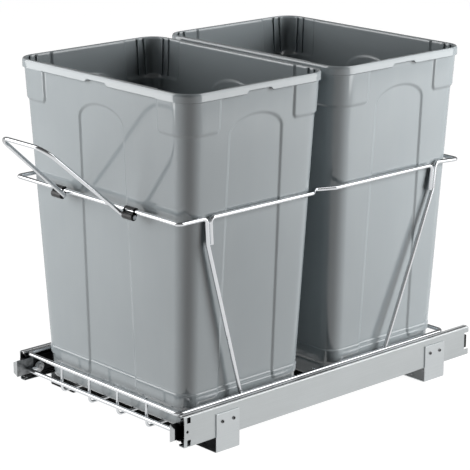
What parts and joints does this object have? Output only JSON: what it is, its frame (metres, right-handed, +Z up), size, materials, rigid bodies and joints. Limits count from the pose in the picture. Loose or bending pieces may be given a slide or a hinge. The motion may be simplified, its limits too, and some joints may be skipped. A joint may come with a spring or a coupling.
{
  "type": "pull out bin frame",
  "caption": "Wire carriage on full extension ball bearing slides with floor brackets, guard hoops, a hinged bail handle and lift out tapered bins, for fitting inside a base cabinet.",
  "frame": {"origin": "middle of the four floor brackets, on the cabinet floor under their feet", "axes": "+X across the cabinet, +Y to the back of the cabinet (the carriage opens toward -Y), +Z up"},
  "size_m": [0.3676, 0.6795, 0.4912],
  "materials": {
    "zinc_sheet": "bright zinc plate",
    "chromed_wire": "bright chrome plate",
    "bin_plastic": "smooth grey moulded plastic",
    "clip_plastic": "black moulded plastic",
    "stop_rubber": "black rubber",
    "ball_steel": "polished",
    "cage_steel": "dark grey",
    "screw_steel": "zinc plate"
  },
  "bodies": {
    "base": {"left_cabinet_member": "zinc_sheet", "right_cabinet_member": "zinc_sheet", "front_left_bracket": "zinc_sheet", "front_right_bracket": "zinc_sheet", "rear_left_bracket": "zinc_sheet", "rear_right_bracket": "zinc_sheet", "slide_screws": "screw_steel", "left_rear_stop": "stop_rubber", "right_rear_stop": "stop_rubber"},
    "left_outer_cage": {"left_outer_cage": "cage_steel", "left_outer_balls": "ball_steel"},
    "right_outer_cage": {"right_outer_cage": "cage_steel", "right_outer_balls": "ball_steel"},
    "left_intermediate": {"left_intermediate_member": "zinc_sheet"},
    "right_intermediate": {"right_intermediate_member": "zinc_sheet"},
    "left_inner_cage": {"left_inner_cage": "cage_steel", "left_inner_balls": "ball_steel"},
    "right_inner_cage": {"right_inner_cage": "cage_steel", "right_inner_balls": "ball_steel"},
    "carriage": {"left_drawer_member": "zinc_sheet", "right_drawer_member": "zinc_sheet", "rim_wire": "chromed_wire", "lower_front_wire": "chromed_wire", "lower_rear_wire": "chromed_wire", "carriage_screws": "screw_steel", "long_tray_wires": "chromed_wire", "cross_tray_wires": "chromed_wire", "front_guard": "chromed_wire", "rear_guard": "chromed_wire", "left_side_guard": "chromed_wire", "right_side_guard": "chromed_wire", "left_handle_clip": "clip_plastic", "right_handle_clip": "clip_plastic"},
    "handle": {"handle": "chromed_wire"},
    "front_bin": {"front_bin": "bin_plastic"},
    "rear_bin": {"rear_bin": "bin_plastic"}
  },
  "joints": [
    {"name": "carriage_slide", "type": "slide", "parent": "base", "child": "carriage", "axis": [0, -1, 0], "range_m": [0, 0.55]},
    {"name": "left_intermediate_slide", "type": "slide", "parent": "base", "child": "left_intermediate", "axis": [0, -1, 0], "range_m": [0, 0.275]},
    {"name": "right_intermediate_slide", "type": "slide", "parent": "base", "child": "right_intermediate", "axis": [0, -1, 0], "range_m": [0, 0.275]},
    {"name": "left_outer_cage_slide", "type": "slide", "parent": "base", "child": "left_outer_cage", "axis": [0, -1, 0], "range_m": [0, 0.1375]},
    {"name": "right_outer_cage_slide", "type": "slide", "parent": "base", "child": "right_outer_cage", "axis": [0, -1, 0], "range_m": [0, 0.1375]},
    {"name": "left_inner_cage_slide", "type": "slide", "parent": "base", "child": "left_inner_cage", "axis": [0, -1, 0], "range_m": [0, 0.4125]},
    {"name": "right_inner_cage_slide", "type": "slide", "parent": "base", "child": "right_inner_cage", "axis": [0, -1, 0], "range_m": [0, 0.4125]},
    {"name": "handle_swing", "type": "hinge", "parent": "carriage", "child": "handle", "pos_m": [0, -0.2822, 0.3172], "axis": [1, 0, 0], "range_deg": [-15, 131]},
    {"name": "front_bin_lift", "type": "slide", "parent": "carriage", "child": "front_bin", "axis": [0, 0, 1], "range_m": [0, 0.32]},
    {"name": "rear_bin_lift", "type": "slide", "parent": "carriage", "child": "rear_bin", "axis": [0, 0, 1], "range_m": [0, 0.32]}
  ],
  "couplings": [
    {"joint": "left_intermediate_slide", "follows": "carriage_slide", "ratio": 0.5},
    {"joint": "right_intermediate_slide", "follows": "carriage_slide", "ratio": 0.5},
    {"joint": "left_outer_cage_slide", "follows": "carriage_slide", "ratio": 0.25},
    {"joint": "right_outer_cage_slide", "follows": "carriage_slide", "ratio": 0.25},
    {"joint": "left_inner_cage_slide", "follows": "carriage_slide", "ratio": 0.75},
    {"joint": "right_inner_cage_slide", "follows": "carriage_slide", "ratio": 0.75}
  ]
}
